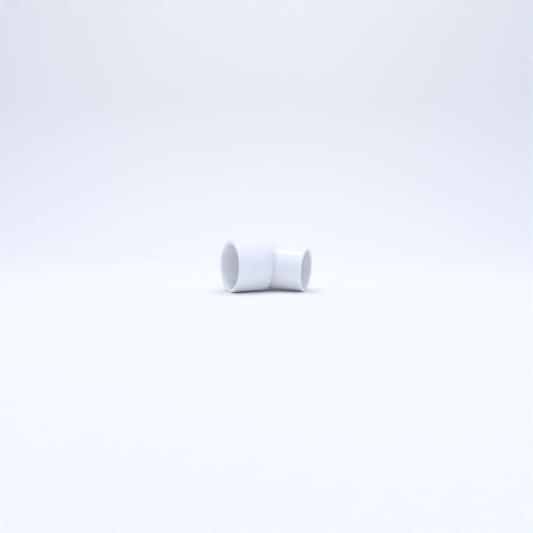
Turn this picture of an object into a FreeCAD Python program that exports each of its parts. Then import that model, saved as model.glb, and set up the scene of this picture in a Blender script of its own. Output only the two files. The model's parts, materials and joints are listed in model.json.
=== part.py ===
"""A 45-degree street bend in white PVC: a socket on one leg and a spigot on the other.

The bend centre, where the axes of the two legs cross, is the origin of every body. The bell and
the stub lie along -X of their own frame and the spigot leg along +X of its own; in both, the
throat of the bend is on the -Y side and the mitre plane stands upright through the bend centre.
One placement, worked out in the Layout sheet, lays the fitting down as it rests on a table: on the
bell's underside and the tip of the spigot. Lengths are in millimetres and angles in degrees.
"""
import FreeCAD, Part
import Sketcher
import os

from FreeCAD import Vector

DIMENSIONS = [
    ("pipe_dia", 48.26, "outside of the spigot, the same as the pipe's"),
    ("socket_clearance", 0.07, "gap round a pipe in the socket, on the radius"),
    ("socket_depth", 35.0, "mouth to pipe stop"),
    ("lead_in_wide", 0.5, "how much the mouth opens out, on the radius"),
    ("lead_in_deep", 1.0, "how far in the mouth's opening-out goes"),
    ("bell_mouth_wall", 4.0, "wall round the socket's bore at the mouth"),
    ("bell_shoulder_wall", 2.9, "the same wall at the shoulder"),
    ("bell_back_wall", 4.0, "thickness of the bell's back wall"),
    ("bell_back_round", 1.3, "rounding of the bell's shoulder"),
    ("bell_rim_round", 0.6, "rounding of the rim's outer edge"),
    ("spigot_wall", 3.63, "wall of the spigot, which leaves the waterway"),
    ("tenon_wall", 2.4, "wall of the stub's end inside the bell"),
    ("neck_step", 0.85, "how far the neck stands proud of the spigot"),
    ("collar_reach", 7.5, "bend centre to the step where the spigot starts"),
    ("spigot_length", 31.8, "step to tip"),
    ("land_height", 0.3, "how far the spigot's root stands proud of the rest"),
    ("land_gap", 0.8, "bare root left between the bead and the end of the land in the throat"),
    ("spigot_edge", 0.5, "chamfer on both edges of the tip"),
    ("bend_angle", 45.0, "how far the run of pipe is turned"),
    ("weld_radius", 1.0, "radius of the bead round the mitre"),
    ("weld_sink", 0.35, "depth of the bead's middle under the neck's skin"),
    ("fillet_leg", 0.6, "leg of the cement fillet at the bell's back"),
    ("bead_gap", 0.1, "bare neck left between the bead and the fillet in the throat"),
    ("cut_margin", 5.0, "how far a rough end or a cutter runs past what it meets"),
]

# the share of a volume that two ways of working it out may differ by
VOLUME_SLACK = 0.01

# What follows from the driving dimensions. "D." stands for the Dimensions sheet. Distances that
# end in _at are measured from the bend centre along the leg's own axis.
LAYOUT = [
    ("half_bend", "D.bend_angle / 2"),
    ("mitre_slope", "tan(half_bend * 1 deg)"),
    ("pipe_radius", "D.pipe_dia / 2"),
    ("socket_radius", "pipe_radius + D.socket_clearance"),
    ("waterway_radius", "pipe_radius - D.spigot_wall"),
    ("neck_radius", "pipe_radius + D.neck_step"),
    ("tenon_radius", "waterway_radius + D.tenon_wall"),
    ("bell_mouth_radius", "socket_radius + D.bell_mouth_wall"),
    ("bell_back_radius", "socket_radius + D.bell_shoulder_wall"),
    # in the throat the bead and the fillet come close on the short side of the stub
    ("throat_gap", "D.weld_radius + D.fillet_leg + D.bead_gap"),
    ("shoulder_at", "neck_radius * mitre_slope + throat_gap"),
    ("stop_at", "shoulder_at + D.bell_back_wall"),
    ("mouth_at", "stop_at + D.socket_depth"),
    ("lead_in_at", "mouth_at - D.lead_in_deep"),
    ("tip_at", "D.collar_reach + D.spigot_length"),
    ("tip_land_at", "tip_at - D.spigot_edge"),
    # the bead runs round the mitre on an ellipse just under the neck's skin
    ("weld_minor", "neck_radius - D.weld_sink"),
    ("weld_major", "weld_minor / cos(half_bend * 1 deg)"),
    ("weld_start_x", "weld_major * sin(half_bend * 1 deg)"),
    # a pipe socket pushed over the spigot stops where the root land ends, clear of the bead
    ("land_radius", "pipe_radius + D.land_height"),
    ("land_end_at", "weld_start_x + D.weld_radius + D.land_gap"),
    # far enough past the mitre plane to be cut by it all round
    ("overrun", "neck_radius * mitre_slope + D.cut_margin"),
    ("cut_reach", "neck_radius + D.cut_margin"),
    ("cut_slant", "cut_reach * mitre_slope"),
    ("cut_back", "mouth_at + tip_at"),
    # the bell lies on its side, so its axis tips up by half its taper
    ("taper", "(bell_mouth_radius - bell_back_radius) / (mouth_at - shoulder_at)"),
    ("tilt", "atan(taper) / 1 deg"),
    ("centre_height", "bell_mouth_radius * cos(tilt * 1 deg) - mouth_at * sin(tilt * 1 deg)"),
    # the spigot leg drops until the edge of its tip touches the table
    ("tip_span", "sqrt(tip_land_at ^ 2 + pipe_radius ^ 2)"),
    ("drop", "(asin(centre_height / tip_span) - atan(pipe_radius / tip_land_at)) / 1 deg"),
    ("tilt_share", "sin(tilt * 1 deg) * cos(D.bend_angle * 1 deg)"),
    ("roll_share", "sin(D.bend_angle * 1 deg) * cos(tilt * 1 deg)"),
    ("roll", "asin((sin(drop * 1 deg) - tilt_share) / roll_share) / 1 deg"),
    # the model's origin is on the bell's axis, where the lead-in ends and the bore begins
    ("centre_x", "lead_in_at * cos(tilt * 1 deg)"),
    ("centre_z", "-lead_in_at * sin(tilt * 1 deg)"),
]

AT_REST = ("placement(vector(Layout.centre_x; 0; Layout.centre_z);"
           " rotation(0; Layout.tilt; Layout.roll))")


def at_rest(shift="vector(0; 0; 0)", turn="rotation(0; 0; 0)"):
    """The resting placement, after a shift and a turn of the piece in the bend's own frame."""
    return f"{AT_REST} * placement({shift}; {turn})"


def fill_sheets(doc):
    """Write the driving dimensions, and the layout that follows from them."""
    dimensions = doc.addObject("Spreadsheet::Sheet", "Dimensions")
    for row, (name, value, note) in enumerate(DIMENSIONS, start=1):
        dimensions.set(f"A{row}", name)
        dimensions.set(f"B{row}", str(value))
        dimensions.setAlias(f"B{row}", name)
        dimensions.set(f"C{row}", note)
    layout = doc.addObject("Spreadsheet::Sheet", "Layout")
    for row, (name, formula) in enumerate(LAYOUT, start=1):
        layout.set(f"A{row}", name)
        layout.setAlias(f"B{row}", name)
        layout.set(f"B{row}", "=" + formula.replace("D.", "Dimensions."))
    doc.recompute()


def new_body(doc, label, placement):
    body = doc.addObject("PartDesign::Body", label)
    body.Label = label
    body.setExpression("Placement", placement)
    return body


def outline(body, name, corners):
    """A closed outline on the body's XY plane, each corner held by an x and a y expression."""
    sketch = body.newObject("Sketcher::SketchObject", name)
    plane = next(item for item in body.Origin.OriginFeatures if item.Role == "XY_Plane")
    sketch.AttachmentSupport = [(plane, "")]
    sketch.MapMode = "FlatFace"
    places = [Vector(sketch.evalExpression(x), sketch.evalExpression(y)) for x, y in corners]
    for start, end in zip(places, places[1:] + places[:1]):
        sketch.addGeometry(Part.LineSegment(start, end))
    for index in range(len(corners)):
        following = (index + 1) % len(corners)
        sketch.addConstraint(Sketcher.Constraint("Coincident", index, 2, following, 1))
    for index, (corner, place) in enumerate(zip(corners, places)):
        for axis, formula, value in zip("XY", corner, place):
            distance = Sketcher.Constraint(f"Distance{axis}", -1, 1, index, 1, value)
            number = sketch.addConstraint(distance)
            sketch.setExpression(f"Constraints[{number}]", formula)
    return sketch


def revolve(body, sketch):
    """Turn the outline once round the leg's axis, the sketch's own X axis."""
    turned = body.newObject("PartDesign::Revolution", f"{sketch.Name}_turned")
    turned.Profile = sketch
    turned.ReferenceAxis = (sketch, ["H_Axis"])
    turned.Angle = 360
    body.Document.recompute()
    return turned


def ring_edge(feature, x, radius):
    """The name of the circular edge at this distance along the axis and of this radius."""
    for number, edge in enumerate(feature.Shape.Edges, start=1):
        if not isinstance(edge.Curve, Part.Circle):
            continue
        centre = edge.Curve.Center
        if abs(centre.x - x) < 1e-3 and abs(edge.Curve.Radius - radius) < 1e-3:
            return f"Edge{number}"
    raise ValueError(f"{feature.Name} has no edge at {x:.3f} of radius {radius:.3f}")


def dress_edge(body, kind, name, edge, size):
    """Round or chamfer one edge of the body's newest feature."""
    plain = body.Tip
    dressed = body.newObject(f"PartDesign::{kind}", name)
    dressed.Base = (plain, [edge])
    dressed.setExpression("Radius" if kind == "Fillet" else "Size", size)
    body.Tip = dressed
    body.Document.recompute()


def cut_at_mitre(body, side):
    """Take away what lies past the mitre plane. side is +1 where that is towards +X, or -1."""
    sign = "" if side > 0 else "-"
    before = body.Shape.Volume
    sketch = outline(body, f"{body.Name}_mitre", [
        ("-Layout.cut_slant" if side > 0 else "Layout.cut_slant", "-Layout.cut_reach"),
        (f"{sign}Layout.cut_back", "-Layout.cut_reach"),
        (f"{sign}Layout.cut_back", "Layout.cut_reach"),
        ("Layout.cut_slant" if side > 0 else "-Layout.cut_slant", "Layout.cut_reach"),
    ])
    cut = body.newObject("PartDesign::Pocket", f"{body.Name}_mitre_cut")
    cut.Profile = sketch
    cut.Type = "Length"
    cut.SideType = "Symmetric"
    cut.setExpression("Length", "2 * Layout.cut_reach")
    body.Tip = cut
    body.Document.recompute()
    if not 0 < body.Shape.Volume < before:
        raise ValueError(f"{body.Label}: the mitre cut took nothing away")


def make_socket_bell(doc):
    """The female end: a tapering shell with a lead-in, a pipe bore and a back wall."""
    body = new_body(doc, "socket_bell", at_rest())
    sheet = doc.Layout
    profile = outline(body, "bell_profile", [
        ("-Layout.shoulder_at", "Layout.bell_back_radius"),
        ("-Layout.mouth_at", "Layout.bell_mouth_radius"),
        ("-Layout.mouth_at", "Layout.socket_radius + Dimensions.lead_in_wide"),
        ("-Layout.lead_in_at", "Layout.socket_radius"),
        ("-Layout.stop_at", "Layout.socket_radius"),
        ("-Layout.stop_at", "Layout.tenon_radius"),
        ("-Layout.shoulder_at", "Layout.tenon_radius"),
    ])
    turned = revolve(body, profile)
    shoulder = ring_edge(turned, -sheet.shoulder_at, sheet.bell_back_radius)
    dress_edge(body, "Fillet", "bell_shoulder_round", shoulder, "Dimensions.bell_back_round")
    rim = ring_edge(body.Tip, -sheet.mouth_at, sheet.bell_mouth_radius)
    dress_edge(body, "Fillet", "bell_rim_round", rim, "Dimensions.bell_rim_round")
    return body


def make_bend_stub(doc):
    """The bell's half of the neck, with a tenon that ends flush with the pipe stop."""
    body = new_body(doc, "bend_stub", at_rest())
    profile = outline(body, "stub_profile", [
        ("Layout.overrun", "Layout.waterway_radius"),
        ("Layout.overrun", "Layout.neck_radius"),
        ("-Layout.shoulder_at", "Layout.neck_radius"),
        ("-Layout.shoulder_at", "Layout.tenon_radius"),
        ("-Layout.stop_at", "Layout.tenon_radius"),
        ("-Layout.stop_at", "Layout.waterway_radius"),
    ])
    revolve(body, profile)
    cut_at_mitre(body, 1)
    return body


def make_spigot_leg(doc):
    """The male end: a collar at the mitre, a low land at the root, a tube as wide as the pipe."""
    turn = "rotation(vector(0; 0; 1); -Dimensions.bend_angle)"
    body = new_body(doc, "spigot_leg", at_rest(turn=turn))
    sheet = doc.Layout
    profile = outline(body, "spigot_profile", [
        ("-Layout.overrun", "Layout.waterway_radius"),
        ("-Layout.overrun", "Layout.neck_radius"),
        ("Dimensions.collar_reach", "Layout.neck_radius"),
        ("Dimensions.collar_reach", "Layout.land_radius"),
        ("Layout.land_end_at", "Layout.land_radius"),
        ("Layout.land_end_at", "Layout.pipe_radius"),
        ("Layout.tip_at", "Layout.pipe_radius"),
        ("Layout.tip_at", "Layout.waterway_radius"),
    ])
    revolve(body, profile)
    for name, radius in (("outer", sheet.pipe_radius), ("inner", sheet.waterway_radius)):
        edge = ring_edge(body.Tip, sheet.tip_at, radius)
        dress_edge(body, "Chamfer", f"tip_{name}_edge", edge, "Dimensions.spigot_edge")
    cut_at_mitre(body, -1)
    return body


def make_bell_fillet(doc):
    """The cement squeezed out where the stub enters the bell's back."""
    body = new_body(doc, "bell_cement_fillet", at_rest())
    profile = outline(body, "fillet_profile", [
        ("-Layout.shoulder_at", "Layout.neck_radius"),
        ("-Layout.shoulder_at", "Layout.neck_radius + Dimensions.fillet_leg"),
        ("-Layout.shoulder_at + Dimensions.fillet_leg", "Layout.neck_radius"),
    ])
    revolve(body, profile)
    return body


def make_mitre_bead(doc, stub, leg):
    """The weld bead round the mitre: a round cord, less what each of the two legs takes up."""
    path = doc.addObject("Part::Ellipse", "bead_path")
    path.setExpression("MajorRadius", "Layout.weld_major")
    path.setExpression("MinorRadius", "Layout.weld_minor")
    path.setExpression("Placement", at_rest(turn="rotation(90 - Layout.half_bend; 0; 90)"))
    section = doc.addObject("Part::Circle", "bead_section")
    section.setExpression("Radius", "Dimensions.weld_radius")
    # the circle's own start faces outwards, so the cord's seam stays clear of both legs' skins
    start = "vector(Layout.weld_start_x; Layout.weld_minor; 0)"
    outwards = "rotation(90 - Layout.half_bend; 0; 0)"
    section.setExpression("Placement", at_rest(shift=start, turn=outwards))
    cord = doc.addObject("Part::Sweep", "bead_cord")
    cord.Sections = [section]
    cord.Spine = (path, ["Edge1"])
    cord.Solid = True
    cord.Frenet = True
    doc.recompute()
    # A Part::Cut of this cord keeps the buried side of it, so the solids are cut directly here,
    # and what is left is compared with what each leg takes.
    whole = cord.Shape
    bead = doc.addObject("Part::Feature", "mitre_weld_bead")
    bead.Label = "mitre_weld_bead"
    bead.Shape = whole.cut(stub.Shape).cut(leg.Shape)
    taken = whole.common(stub.Shape).Volume + whole.common(leg.Shape).Volume
    if abs(whole.Volume - taken - bead.Shape.Volume) > VOLUME_SLACK * bead.Shape.Volume:
        raise ValueError("mitre_weld_bead: the cut kept the wrong part of the cord")
    return bead


def check_document(doc, pieces):
    """Stop before anything is written if a feature failed or a piece is not a sound solid."""
    for item in doc.Objects:
        if {"Invalid", "Error"} & set(item.State):
            raise RuntimeError(f"{item.Name} did not compute: {item.State}")
    for piece in pieces:
        shape = piece.Shape
        if shape.isNull() or not shape.isValid() or not shape.Solids:
            raise RuntimeError(f"{piece.Label} is not a valid solid")


def main():
    doc = FreeCAD.newDocument("street_bend")
    fill_sheets(doc)
    bell = make_socket_bell(doc)
    stub = make_bend_stub(doc)
    leg = make_spigot_leg(doc)
    fillet = make_bell_fillet(doc)
    bead = make_mitre_bead(doc, stub, leg)
    pieces = [bell, stub, leg, fillet, bead]
    doc.recompute()
    check_document(doc, pieces)
    os.makedirs("parts", exist_ok=True)
    for piece in pieces:
        piece.Shape.exportStep(f"parts/{piece.Label}.step")
        box = piece.Shape.BoundBox
        print(f"{piece.Label}: {len(piece.Shape.Solids)} solid, {piece.Shape.Volume:.1f} mm3, "
              f"x {box.XMin:.2f} to {box.XMax:.2f}, y {box.YMin:.2f} to {box.YMax:.2f}, "
              f"z {box.ZMin:.2f} to {box.ZMax:.2f}")


main()
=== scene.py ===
"""Looks of a glossy white PVC 45-degree street bend, lying on a pale studio sweep.

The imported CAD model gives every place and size. Each CAD node is measured in the frame of the leg
it belongs to, then stood in for by a finely turned mesh of the same size, with the small rounds,
ripples and unevenness of a moulded and welded fitting. Lengths are in metres.
"""

import json
import math

import bmesh
import bpy
import numpy as np
from mathutils import Matrix, Vector, noise


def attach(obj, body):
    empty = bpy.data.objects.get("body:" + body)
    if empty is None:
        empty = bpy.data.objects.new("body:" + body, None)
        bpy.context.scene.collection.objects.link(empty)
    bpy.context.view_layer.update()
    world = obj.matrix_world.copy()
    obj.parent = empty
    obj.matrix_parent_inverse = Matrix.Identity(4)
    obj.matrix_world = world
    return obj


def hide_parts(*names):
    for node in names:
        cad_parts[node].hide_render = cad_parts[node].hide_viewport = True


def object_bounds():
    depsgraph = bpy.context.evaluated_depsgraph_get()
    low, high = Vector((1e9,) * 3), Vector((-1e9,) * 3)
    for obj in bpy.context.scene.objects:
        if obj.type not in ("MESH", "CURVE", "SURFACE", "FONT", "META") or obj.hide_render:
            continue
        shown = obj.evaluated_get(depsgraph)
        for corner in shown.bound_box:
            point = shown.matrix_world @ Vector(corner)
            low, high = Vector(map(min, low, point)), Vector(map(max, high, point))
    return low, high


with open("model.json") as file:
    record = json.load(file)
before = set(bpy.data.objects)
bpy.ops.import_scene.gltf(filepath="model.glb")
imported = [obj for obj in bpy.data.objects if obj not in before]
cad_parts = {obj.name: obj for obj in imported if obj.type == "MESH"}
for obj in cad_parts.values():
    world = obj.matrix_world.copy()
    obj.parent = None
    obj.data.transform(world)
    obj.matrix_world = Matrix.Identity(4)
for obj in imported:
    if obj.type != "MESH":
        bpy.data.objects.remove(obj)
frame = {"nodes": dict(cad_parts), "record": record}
cad_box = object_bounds()

MM = 0.001
SEGMENTS = 320               # facets round each turned piece
WELD_ROUNDS = 720            # facets along the bead at the mitre, and around it
WELD_POINTS = 20
SHARP_ANGLE = math.radians(32)
EDGE_BREAK = 0.12 * MM       # tiny round that a mould leaves on every corner
TINY = 0.02 * MM             # a hair: room round the tenon, and how near counts as equal
SAME_PLACE = 1e-7            # points closer than this are merged
NO_EDGE = 1e-8               # edges shorter than this are dropped


# ---------------------------------------------------------------- the frame of each leg

class Leg:
    """One leg of the bend: its axis out of the bend centre, its throat side and its upper side."""

    def __init__(self, centre, out, throat, up, half_bend):
        self.centre = centre
        self.out = out
        self.throat = throat
        self.up = up
        self.slope = math.tan(half_bend)

    def point(self, along, radius, angle):
        """A point in the part's frame. The angle is measured from the throat, over the upper side."""
        side = self.throat * math.cos(angle) + self.up * math.sin(angle)
        return self.centre + self.out * along + side * radius

    def mitre(self, radius, angle):
        """How far along the axis the mitre plane is, at this radius and angle."""
        return radius * math.cos(angle) * self.slope

    def measure(self, node):
        """(along, radius) of every vertex of a CAD node."""
        places = np.array([v.co for v in frame["nodes"][node].data.vertices])
        offset = places - np.array(self.centre)
        along = offset @ np.array(self.out)
        radial = offset - np.outer(along, np.array(self.out))
        return along, np.linalg.norm(radial, axis=1)


def find_legs():
    """The socket's leg and the spigot's leg, from the axes of their mounts."""
    mounts = {mount["name"]: mount for mount in frame["record"]["mounts"]}
    outs = [Vector(mounts[name]["axis"]).normalized() for name in ("socket", "spigot")]
    marks = [Vector(mounts[name]["pos_m"]) for name in ("socket", "spigot")]
    up = outs[0].cross(outs[1]).normalized()
    if up.z < 0:
        up.negate()
    # where the two axes cross: walk along the socket's axis until the spigot's is met
    across = outs[1].cross(up)
    centre = marks[0] + outs[0] * ((marks[1] - marks[0]).dot(across) / outs[0].dot(across))
    half_bend = (math.pi - outs[0].angle(outs[1])) / 2
    legs = []
    for out, other in ((outs[0], outs[1]), (outs[1], outs[0])):
        throat = up.cross(out)
        if throat.dot(other) < 0:
            throat.negate()
        legs.append(Leg(centre, out, throat, up, half_bend))
    return legs, mounts


(socket_leg, spigot_leg), mounts = find_legs()
HALF_BEND = math.atan(socket_leg.slope)

SOCKET_R = mounts["socket"]["dims"]["r_mm"] * MM
PIPE_R = mounts["spigot"]["dims"]["r_mm"] * MM

bell_along, bell_r = socket_leg.measure("socket_bell")
stub_along, stub_r = socket_leg.measure("bend_stub")
leg_along, leg_r = spigot_leg.measure("spigot_leg")
_, fillet_r = socket_leg.measure("bell_cement_fillet")

NECK_R = stub_r.max()
WATERWAY_R = stub_r.min()
MOUTH_AT = bell_along.max()
SHOULDER_AT = bell_along.min()
STOP_AT = stub_along.max()
TENON_R = bell_r.min()
TIP_AT = leg_along.max()
COLLAR_AT = leg_along[leg_r > (PIPE_R + NECK_R) / 2].max()
LAND_AT = leg_along[leg_r > PIPE_R + TINY].max()
LAND_R = leg_r[abs(leg_along - LAND_AT) < TINY].max()
FILLET_LEG = fillet_r.max() - NECK_R

# the part's own small sizes, which the frame doesn't state
RIM_ROUND = 0.6 * MM
SHOULDER_ROUND = 1.3 * MM
LEAD_IN_DEEP = 1.0 * MM
LEAD_IN_WIDE = 0.5 * MM
TIP_CHAMFER = 0.5 * MM
WELD_R = 1.0 * MM
WELD_SINK = 0.35 * MM        # how deep the bead's path lies under the neck's skin

# what moulding and welding leave, which only the looks have
STEP_ROUND = 0.2 * MM
BELL_SINK = 0.03 * MM        # the deepest sink mark in the bell's skin
TUBE_SINK = 0.02 * MM        # and in the spigot's
SINK_SCALE = 55.0            # sink marks to the metre
FILLET_MEAN = 0.82           # width of the cement over the CAD fillet's leg
FILLET_SWELL = 0.16
FILLET_RAGGED = 0.1
WELD_MEAN = 0.98             # size of the bead over its radius, and how far that varies
WELD_SWELL = 0.1
WELD_LUMPS = 0.09
WELD_RIPPLE = 0.03
WELD_RIPPLES = 96            # ripples in one trip round the mitre
WELD_WANDER = 0.18 * MM      # how far the bead strays to either side of the seam
WELD_TALL = 0.9              # the bead is a little lower than round
WELD_WIDE = 1.05             # and a little wider

MITRE_SPARE = 1.0 * MM       # outline past the mitre, which is then cut back to its plane
NEARLY_PAST = 0.9            # past this share of a round, a vertex counts as on the straight


def bell_wall(along):
    """Radius of the bell's outside, on the straight taper between its two rounds."""
    outer = bell_r > SOCKET_R + MM
    past_shoulder = bell_along > SHOULDER_AT + SHOULDER_ROUND * NEARLY_PAST
    short_of_rim = bell_along < MOUTH_AT - RIM_ROUND * NEARLY_PAST
    taper = outer & past_shoulder & short_of_rim
    slope, start = np.polyfit(bell_along[taper], bell_r[taper], 1)
    return start + slope * along


# ---------------------------------------------------------------- mesh making

def arc(along, radius, size, start, end, steps=7):
    """Points of a round in an outline, centred at (along, radius), from one angle to another."""
    turns = [math.radians(start + (end - start) * i / steps) for i in range(steps + 1)]
    return [(along + size * math.cos(t), radius + size * math.sin(t)) for t in turns]


def straight(start, end, steps):
    """Points between two corners of an outline, without the corners themselves."""
    return [(start[0] + (end[0] - start[0]) * i / steps, start[1] + (end[1] - start[1]) * i / steps)
            for i in range(1, steps)]


def finish_mesh(name, places, faces):
    """A mesh object with its doubled points merged, normals outwards and corners kept crisp."""
    mesh = bpy.data.meshes.new(name)
    mesh.from_pydata(places, [], faces)
    shaped = bmesh.new()
    shaped.from_mesh(mesh)
    bmesh.ops.remove_doubles(shaped, verts=shaped.verts, dist=SAME_PLACE)
    bmesh.ops.dissolve_degenerate(shaped, edges=shaped.edges, dist=NO_EDGE)
    bmesh.ops.recalc_face_normals(shaped, faces=shaped.faces)
    shaped.to_mesh(mesh)
    shaped.free()
    mesh.polygons.foreach_set("use_smooth", [True] * len(mesh.polygons))
    mesh.set_sharp_from_angle(angle=SHARP_ANGLE)
    piece = bpy.data.objects.new(name, mesh)
    bpy.context.scene.collection.objects.link(piece)
    return piece


def grid_faces(rounds, points):
    """Quads of a closed ring of closed outlines."""
    faces = []
    for i in range(rounds):
        here = i * points
        following = (i + 1) % rounds * points
        for j in range(points):
            after = (j + 1) % points
            faces.append((here + j, following + j, following + after, here + after))
    return faces


def sink_marks(place, depth):
    """How far a moulded skin has drawn in here: broad, shallow and never outwards."""
    return depth * (0.5 + 0.5 * noise.noise(place * SINK_SCALE))


def turn(name, leg, outline, mitred=False, skin_depth=0.0):
    """Turn an outline of (along, radius) points round a leg's axis, up to the mitre if asked."""
    places = []
    for i in range(SEGMENTS):
        angle = 2 * math.pi * i / SEGMENTS
        for along, radius in outline:
            if mitred:
                along = max(along, leg.mitre(radius, angle))
            if skin_depth:
                radius -= sink_marks(leg.point(along, radius, angle), skin_depth)
            places.append(leg.point(along, radius, angle))
    return finish_mesh(name, places, grid_faces(SEGMENTS, len(outline)))


# ---------------------------------------------------------------- the pieces

def make_bell():
    """The socket bell: rim, lead-in, pipe bore, pipe stop, back wall and rounded shoulder."""
    rim_r = bell_wall(MOUTH_AT)
    back_r = bell_wall(SHOULDER_AT)
    outer_from = (SHOULDER_AT + SHOULDER_ROUND, bell_wall(SHOULDER_AT + SHOULDER_ROUND))
    outer_to = (MOUTH_AT - RIM_ROUND, bell_wall(MOUTH_AT - RIM_ROUND))
    bore_from = (MOUTH_AT - LEAD_IN_DEEP, SOCKET_R)
    bore_to = (STOP_AT, SOCKET_R)
    mouth_r = SOCKET_R + LEAD_IN_WIDE
    outline = []
    outline += arc(SHOULDER_AT + SHOULDER_ROUND, back_r - SHOULDER_ROUND + TINY, SHOULDER_ROUND, 180, 92, 10)
    outline += straight(outer_from, outer_to, 14)
    outline += arc(MOUTH_AT - RIM_ROUND, rim_r - RIM_ROUND, RIM_ROUND, 88, 0, 8)
    outline += arc(MOUTH_AT - EDGE_BREAK, mouth_r + EDGE_BREAK, EDGE_BREAK, 0, -62, 3)
    outline += [bore_from]
    outline += straight(bore_from, bore_to, 8)
    outline += arc(STOP_AT + 2 * EDGE_BREAK, SOCKET_R - 2 * EDGE_BREAK, 2 * EDGE_BREAK, 90, 180, 4)
    outline += [(STOP_AT, TENON_R + TINY), (SHOULDER_AT, TENON_R + TINY)]
    return turn("bell_shell", socket_leg, outline, skin_depth=BELL_SINK)


def make_stub():
    """The mitred neck: bare skin from the shoulder to the mitre, and the tenon inside the bell."""
    far = -NECK_R * socket_leg.slope - MITRE_SPARE
    reach = SHOULDER_AT - far
    steps = 24
    outline = [(far + reach * i / steps, NECK_R) for i in range(steps + 1)]
    outline += [(SHOULDER_AT, TENON_R), (STOP_AT - EDGE_BREAK, TENON_R)]
    outline += arc(STOP_AT - EDGE_BREAK, TENON_R - EDGE_BREAK, EDGE_BREAK, 60, 0, 2)
    outline += arc(STOP_AT - 2 * EDGE_BREAK, WATERWAY_R + 2 * EDGE_BREAK, 2 * EDGE_BREAK, 0, -90, 3)
    outline += straight((STOP_AT - 2 * EDGE_BREAK, WATERWAY_R), (far, WATERWAY_R), steps)
    outline += [(far, WATERWAY_R)]
    return turn("neck_stub", socket_leg, outline, mitred=True)


def make_spigot():
    """The spigot leg: collar at the mitre, rounded step, low root land, plain tube, chamfered tip."""
    far = -NECK_R * spigot_leg.slope - MITRE_SPARE
    reach = COLLAR_AT - STEP_ROUND - far
    steps = 20
    outline = [(far + reach * i / steps, NECK_R) for i in range(steps)]
    outline += arc(COLLAR_AT - STEP_ROUND, NECK_R - STEP_ROUND, STEP_ROUND, 90, 0, 4)
    outline += arc(COLLAR_AT + STEP_ROUND, LAND_R + STEP_ROUND, STEP_ROUND, 180, 270, 4)
    outline += straight((COLLAR_AT + STEP_ROUND, LAND_R), (LAND_AT - EDGE_BREAK, LAND_R), 4)
    outline += arc(LAND_AT - EDGE_BREAK, LAND_R - EDGE_BREAK, EDGE_BREAK, 90, 0, 3)
    outline += straight((LAND_AT, PIPE_R), (TIP_AT - TIP_CHAMFER, PIPE_R), 14)
    outline += arc(TIP_AT - TIP_CHAMFER - EDGE_BREAK, PIPE_R - EDGE_BREAK, EDGE_BREAK, 90, 45, 2)
    outline += arc(TIP_AT - EDGE_BREAK, PIPE_R - TIP_CHAMFER - EDGE_BREAK, EDGE_BREAK, 45, 0, 2)
    outline += arc(TIP_AT - EDGE_BREAK, WATERWAY_R + TIP_CHAMFER + EDGE_BREAK, EDGE_BREAK, 0, -45, 2)
    outline += [(TIP_AT - TIP_CHAMFER, WATERWAY_R)]
    outline += straight((TIP_AT - TIP_CHAMFER, WATERWAY_R), (far, WATERWAY_R), 30)
    outline += [(far, WATERWAY_R)]
    return turn("spigot_tube", spigot_leg, outline, mitred=True, skin_depth=TUBE_SINK)


def make_fillet():
    """The cement squeezed out at the bell's back: a hollow fillet of uneven width."""
    places = []
    steps = 8
    for i in range(SEGMENTS):
        angle = 2 * math.pi * i / SEGMENTS
        where = Vector((math.cos(angle), math.sin(angle), 0))
        swell = FILLET_SWELL * noise.noise(where * 3.1)
        ragged = FILLET_RAGGED * noise.noise(where * 11.0)
        size = FILLET_LEG * (FILLET_MEAN + swell + ragged)
        hollow = arc(SHOULDER_AT - size, NECK_R + size, size, 0, -90, steps)
        buried = [(SHOULDER_AT + FILLET_LEG / 2, NECK_R - FILLET_LEG / 2)]
        for along, radius in hollow + buried:
            places.append(socket_leg.point(along, radius, angle))
    return finish_mesh("cement_fillet", places, grid_faces(SEGMENTS, steps + 2))


def make_weld():
    """The bead round the mitre: an uneven cord on an ellipse, with ripples and a few lumps."""
    minor = NECK_R - WELD_SINK
    major = minor / math.cos(HALF_BEND)
    long_way = (socket_leg.out * socket_leg.slope + socket_leg.throat).normalized()
    plane_normal = long_way.cross(socket_leg.up)
    places = []
    for i in range(WELD_ROUNDS):
        turned = 2 * math.pi * i / WELD_ROUNDS
        where = Vector((math.cos(turned), math.sin(turned), 0))
        middle = socket_leg.centre + long_way * (major * where.x) + socket_leg.up * (minor * where.y)
        outwards = (long_way * (minor * where.x) + socket_leg.up * (major * where.y)).normalized()
        swell = WELD_SWELL * noise.noise(where * 4.0)
        lumps = swell + WELD_LUMPS * noise.noise(where * 13.0 + Vector((5, 0, 0)))
        ripple = WELD_RIPPLE * math.sin(WELD_RIPPLES * turned + 1.5 * noise.noise(where * 6.0))
        size = WELD_R * (WELD_MEAN + lumps + ripple)
        wander = plane_normal * (WELD_WANDER * noise.noise(where * 5.0 + Vector((0, 9, 0))))
        for j in range(WELD_POINTS):
            spin = 2 * math.pi * j / WELD_POINTS
            side = outwards * (WELD_TALL * math.cos(spin)) + plane_normal * (WELD_WIDE * math.sin(spin))
            places.append(middle + wander + side * size)
    return finish_mesh("mitre_weld", places, grid_faces(WELD_ROUNDS, WELD_POINTS))


# ---------------------------------------------------------------- materials

PVC_WHITE = (0.9, 0.905, 0.91)
# painted shade: this grey darkens the cement fillet to stand in for the shade in the crease at the bell's
# back, not a colour the cement has
CREASE_PAINTED_SHADE = (0.76, 0.77, 0.8)
PVC_SHADE = 0.955            # tone of the cloudy patches, as a share of the white
PVC_DUST = 0.8               # and of the specks and the handled edges
PVC_SCATTER = 5.0 * MM       # how far light spreads inside the milky plastic
PVC_MILKY = 0.5              # and how much of the light does
PVC_ROUGH = 0.2
BEAD_ROUGH = 0.16
CEMENT_ROUGH = 0.3
EDGE_DULLED = 0.15           # roughness that handling adds to a sharp edge
PVC_IOR = 1.53
CEMENT_IOR = 1.5
CEMENT_COAT = 0.25


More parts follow.
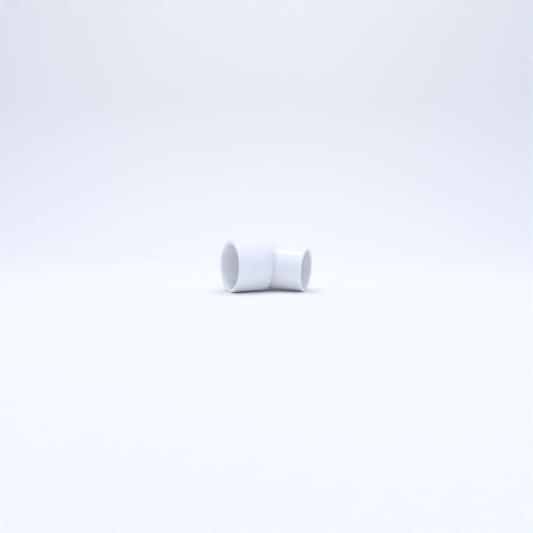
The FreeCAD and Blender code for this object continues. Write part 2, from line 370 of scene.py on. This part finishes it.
class Nodes:
    """A short way to write a node tree."""

    def __init__(self, name):
        self.material = bpy.data.materials.new(name)
        self.material.use_nodes = True
        self.tree = self.material.node_tree
        self.shader = self.tree.nodes["Principled BSDF"]
        self.coordinates = self.tree.nodes.new("ShaderNodeTexCoord").outputs["Object"]

    def node(self, kind, **inputs):
        made = self.tree.nodes.new(kind)
        for key, value in inputs.items():
            self.feed(made.inputs[key.replace("_", " ")], value)
        return made

    def feed(self, socket, value):
        if isinstance(value, bpy.types.NodeSocket):
            self.tree.links.new(value, socket)
        else:
            socket.default_value = value

    def noise(self, scale, detail=3.0, stretch=None):
        """Noise of so many bumps to the metre, stretched along the axes if asked."""
        place = self.coordinates
        if stretch:
            place = self.node("ShaderNodeVectorMath", Vector=place)
            place.operation = "MULTIPLY"
            place.inputs[1].default_value = stretch
            place = place.outputs[0]
        made = self.node("ShaderNodeTexNoise", Vector=place, Scale=scale, Detail=detail)
        return made.outputs["Fac"]

    def spread(self, value, low, high, out_low=0.0, out_high=1.0):
        """The value, mapped from between low and high to between the two outputs."""
        made = self.node("ShaderNodeMapRange", Value=value)
        for key, number in zip(("From Min", "From Max", "To Min", "To Max"), (low, high, out_low, out_high)):
            made.inputs[key].default_value = number
        return made.outputs["Result"]

    def blend(self, share, first, second):
        made = self.node("ShaderNodeMix")
        made.data_type = "RGBA"
        # sockets 0, 6 and 7 are a colour mix's share and its two colours
        self.feed(made.inputs[0], share)
        self.feed(made.inputs[6], first)
        self.feed(made.inputs[7], second)
        return made.outputs[2]

    def bump(self, height, distance, strength=1.0, over=None):
        made = self.node("ShaderNodeBump", Height=height, Distance=distance, Strength=strength)
        if over is not None:
            self.feed(made.inputs["Normal"], over)
        return made.outputs["Normal"]


def edge_share(nodes):
    """How far a spot is on a sharp outer edge, where handling dulls and greys the plastic."""
    pointed = nodes.node("ShaderNodeNewGeometry").outputs["Pointiness"]
    return nodes.spread(pointed, low=0.52, high=0.58)


def milky(nodes):
    """Light spreads a little way inside the plastic, equally in every colour."""
    nodes.shader.inputs["Subsurface Weight"].default_value = PVC_MILKY
    nodes.shader.inputs["Subsurface Radius"].default_value = (1.0, 1.0, 1.0)
    nodes.shader.inputs["Subsurface Scale"].default_value = PVC_SCATTER


def pvc_material(name, white, rough):
    """Moulded PVC: nearly even white, gloss that varies softly, faint flow lines and dulled edges."""
    nodes = Nodes(name)
    clouds = nodes.noise(scale=38.0, detail=4.0)
    specks = nodes.noise(scale=900.0, detail=2.0)
    edge = edge_share(nodes)
    shade = tuple(channel * PVC_SHADE for channel in white) + (1.0,)
    colour = nodes.blend(nodes.spread(clouds, low=0.3, high=0.7), white + (1.0,), shade)
    dust = tuple(channel * PVC_DUST for channel in white) + (1.0,)
    colour = nodes.blend(nodes.spread(specks, low=0.72, high=0.78, out_high=0.25), colour, dust)
    colour = nodes.blend(nodes.spread(edge, low=0.0, high=1.0, out_high=0.18), colour, dust)
    nodes.feed(nodes.shader.inputs["Base Color"], colour)
    gloss = nodes.spread(clouds, low=0.25, high=0.75, out_low=rough * 0.85, out_high=rough * 1.25)
    dulled = nodes.node("ShaderNodeMath")
    dulled.operation = "MULTIPLY_ADD"
    nodes.feed(dulled.inputs[0], edge)
    dulled.inputs[1].default_value = EDGE_DULLED
    nodes.feed(dulled.inputs[2], gloss)
    nodes.feed(nodes.shader.inputs["Roughness"], dulled.outputs[0])
    skin = nodes.noise(scale=520.0, detail=3.0)
    orange_peel = nodes.bump(skin, distance=0.01 * MM, strength=0.5)
    streaks = nodes.noise(scale=60.0, detail=2.0, stretch=(0.6, 5.0, 5.0))
    flow = nodes.bump(streaks, distance=0.04 * MM, strength=0.5, over=orange_peel)
    nodes.feed(nodes.shader.inputs["Normal"], flow)
    nodes.shader.inputs["IOR"].default_value = PVC_IOR
    milky(nodes)
    return nodes.material


def cement_material(name, white, rough):
    """Fused PVC or cement: pooled and bubbled along the joint, with warmer patches and a thin gloss."""
    nodes = Nodes(name)
    pools = nodes.noise(scale=240.0, detail=5.0)
    warm = (white[0] * 0.97, white[1] * 0.955, white[2] * 0.92, 1.0)
    colour = nodes.blend(nodes.spread(pools, low=0.35, high=0.65), white + (1.0,), warm)
    nodes.feed(nodes.shader.inputs["Base Color"], colour)
    gloss = nodes.spread(pools, low=0.3, high=0.7, out_low=rough * 0.7, out_high=rough * 1.6)
    nodes.feed(nodes.shader.inputs["Roughness"], gloss)
    bubbles = nodes.bump(nodes.noise(scale=1400.0, detail=2.0), distance=0.03 * MM, strength=0.6)
    pooled = nodes.bump(pools, distance=0.12 * MM, strength=0.5, over=bubbles)
    nodes.feed(nodes.shader.inputs["Normal"], pooled)
    nodes.shader.inputs["IOR"].default_value = CEMENT_IOR
    nodes.shader.inputs["Coat Weight"].default_value = CEMENT_COAT
    return nodes.material


# ---------------------------------------------------------------- the object

pvc = pvc_material("white_pvc", PVC_WHITE, PVC_ROUGH)
fused = cement_material("fused_bead", PVC_WHITE, BEAD_ROUGH)
# the fillet's material is cement whose darker grey is painted shade for the crease where the bell meets the
# neck
cement = cement_material("crease_cement_painted_shade", CREASE_PAINTED_SHADE, CEMENT_ROUGH)

for maker, node, slot, material in (
    (make_bell, "socket_bell", "pvc_white", pvc),
    (make_stub, "bend_stub", "pvc_white", pvc),
    (make_spigot, "spigot_leg", "pvc_white", pvc),
    (make_fillet, "bell_cement_fillet", "cement", cement),
    (make_weld, "mitre_weld_bead", "cement", fused),
):
    piece = maker()
    piece.data.materials.append(material)
    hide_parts(node)
    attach(piece, "root")
    frame["nodes"][node].data.materials.clear()
    frame["nodes"][node].data.materials.append(material)


# ---------------------------------------------------------------- the camera

CAMERA_TURN = math.radians(25.9)    # how far the camera looks off the socket leg's square view
CAMERA_PITCH = math.radians(5.0)    # and how far it looks down
CAMERA_AWAY = 0.6825                # from the point that it is aimed at
LENS_TO_SENSOR = 1.1527             # focal length over the sensor's width
SENSOR = 36.0                       # in millimetres, as Blender's cameras are
CLIP_NEAR = 0.01
CLIP_FAR = 20.0
AIM_LEFT = 6.4 * MM                 # the view is centred a little beside and below the bend
AIM_UP = -0.7 * MM


def place_camera():
    """The camera looks a little down at the throat, with both mouths turned towards it."""
    level = Vector((math.sin(CAMERA_TURN), math.cos(CAMERA_TURN), 0))
    forward = level * math.cos(CAMERA_PITCH) - Vector((0, 0, math.sin(CAMERA_PITCH)))
    right = forward.cross(Vector((0, 0, 1))).normalized()
    above = right.cross(forward)
    turned = Matrix((right, above, -forward)).transposed()
    data = bpy.data.cameras.new("camera")
    data.sensor_width = SENSOR
    data.lens = SENSOR * LENS_TO_SENSOR
    data.clip_start = CLIP_NEAR
    data.clip_end = CLIP_FAR
    camera = bpy.data.objects.new("camera", data)
    aim = socket_leg.centre - right * AIM_LEFT + above * AIM_UP
    camera.matrix_world = Matrix.Translation(aim - forward * CAMERA_AWAY) @ turned.to_4x4()
    bpy.context.scene.collection.objects.link(camera)
    bpy.context.scene.camera = camera
    return level, right


level, right = place_camera()


# ---------------------------------------------------------------- the sweep and the light

FLOOR_Z = cad_box[0].z
SWEEP_BEHIND = 0.42          # flat floor behind the bend, before the sweep curves up
SWEEP_CURVE = 0.34
SWEEP_TALL = 1.9
SWEEP_FRONT = 1.9
SWEEP_HALF_WIDE = 2.2
PAPER_WHITE = (0.915, 0.905, 0.895, 1.0)
PAPER_SHADE = (0.905, 0.895, 0.885, 1.0)

SKY_COLOUR = (0.72, 0.8, 1.0, 1.0)
SKY_LOW = 0.46               # strength of the light from the horizon, and from above
SKY_HIGH = 0.97
SKY_FADE_TALL = 0.55         # how high its strength is full, where straight up is 1
BOX_WARM = (1.0, 0.92, 0.74)
BOX_COOL = (0.88, 0.92, 1.0)


def stage_material():
    """Matt white paper with the faintest unevenness."""
    nodes = Nodes("paper_sweep")
    tone = nodes.spread(nodes.noise(scale=3.0, detail=2.0), low=0.3, high=0.7)
    colour = nodes.blend(tone, PAPER_WHITE, PAPER_SHADE)
    nodes.feed(nodes.shader.inputs["Base Color"], colour)
    nodes.shader.inputs["Roughness"].default_value = 0.75
    nodes.shader.inputs["Specular IOR Level"].default_value = 0.2
    tooth = nodes.bump(nodes.noise(scale=300.0, detail=2.0), distance=0.02 * MM, strength=0.3)
    nodes.feed(nodes.shader.inputs["Normal"], tooth)
    return nodes.material


def make_sweep():
    """A floor that curves up into a wall behind the object."""
    flat_steps = 24
    curve_steps = 32
    wall_steps = 8
    flat = SWEEP_FRONT + SWEEP_BEHIND
    profile = [(-SWEEP_FRONT + flat * i / flat_steps, 0.0) for i in range(flat_steps + 1)]
    for i in range(1, curve_steps + 1):
        bend = math.pi / 2 * i / curve_steps
        profile.append((SWEEP_BEHIND + SWEEP_CURVE * math.sin(bend), SWEEP_CURVE * (1 - math.cos(bend))))
    # the curve reaches past the wall's first step, so the wall goes on from its second
    wall_at = SWEEP_BEHIND + SWEEP_CURVE
    profile += [(wall_at, SWEEP_TALL * i / wall_steps) for i in range(2, wall_steps + 1)]
    foot = Vector((socket_leg.centre.x, socket_leg.centre.y, FLOOR_Z))
    places = []
    across = 12
    for i in range(across + 1):
        for back, tall in profile:
            side = right * (SWEEP_HALF_WIDE * (2 * i / across - 1))
            places.append(foot + side + level * back + Vector((0, 0, tall)))
    count = len(profile)
    faces = [(i * count + j, (i + 1) * count + j, (i + 1) * count + j + 1, i * count + j + 1)
             for i in range(across) for j in range(count - 1)]
    mesh = bpy.data.meshes.new("sweep")
    mesh.from_pydata(places, [], faces)
    mesh.polygons.foreach_set("use_smooth", [True] * len(mesh.polygons))
    mesh.materials.append(stage_material())
    sweep = bpy.data.objects.new("sweep", mesh)
    bpy.context.scene.collection.objects.link(sweep)


def area_light(name, back, tall, size, power, colour):
    """A soft box aimed at the bend, so far behind it (as the camera looks) and so far above it."""
    data = bpy.data.lights.new(name, "AREA")
    data.shape = "RECTANGLE"
    data.size, data.size_y = size
    data.energy = power
    data.color = colour
    light = bpy.data.objects.new(name, data)
    light.location = socket_leg.centre + level * back + Vector((0, 0, tall))
    aim = socket_leg.centre - light.location
    light.rotation_mode = "QUATERNION"
    light.rotation_quaternion = aim.to_track_quat("-Z", "Y")
    bpy.context.scene.collection.objects.link(light)


def sky():
    """Cool light from all round, dimmer near the horizon, where the room is darker."""
    world = bpy.data.worlds.new("studio")
    world.use_nodes = True
    tree = world.node_tree
    backdrop = tree.nodes["Background"]
    backdrop.inputs["Color"].default_value = SKY_COLOUR
    where = tree.nodes.new("ShaderNodeTexCoord")
    height = tree.nodes.new("ShaderNodeSeparateXYZ")
    tree.links.new(where.outputs["Generated"], height.inputs["Vector"])
    fade = tree.nodes.new("ShaderNodeMapRange")
    fade.inputs["From Min"].default_value = 0.0
    fade.inputs["From Max"].default_value = SKY_FADE_TALL
    fade.inputs["To Min"].default_value = SKY_LOW
    fade.inputs["To Max"].default_value = SKY_HIGH
    tree.links.new(height.outputs["Z"], fade.inputs["Value"])
    tree.links.new(fade.outputs["Result"], backdrop.inputs["Strength"])
    return world


def light_scene():
    """A warm box overhead, a weaker cool one above the camera, and the cool sky."""
    bpy.context.scene.world = sky()
    area_light("overhead_box", back=0.1, tall=1.3, size=(0.9, 0.5), power=5.6, colour=BOX_WARM)
    area_light("front_box", back=-0.75, tall=1.1, size=(1.4, 0.6), power=2.4, colour=BOX_COOL)
    bpy.context.scene.view_settings.view_transform = "Standard"


make_sweep()
light_scene()
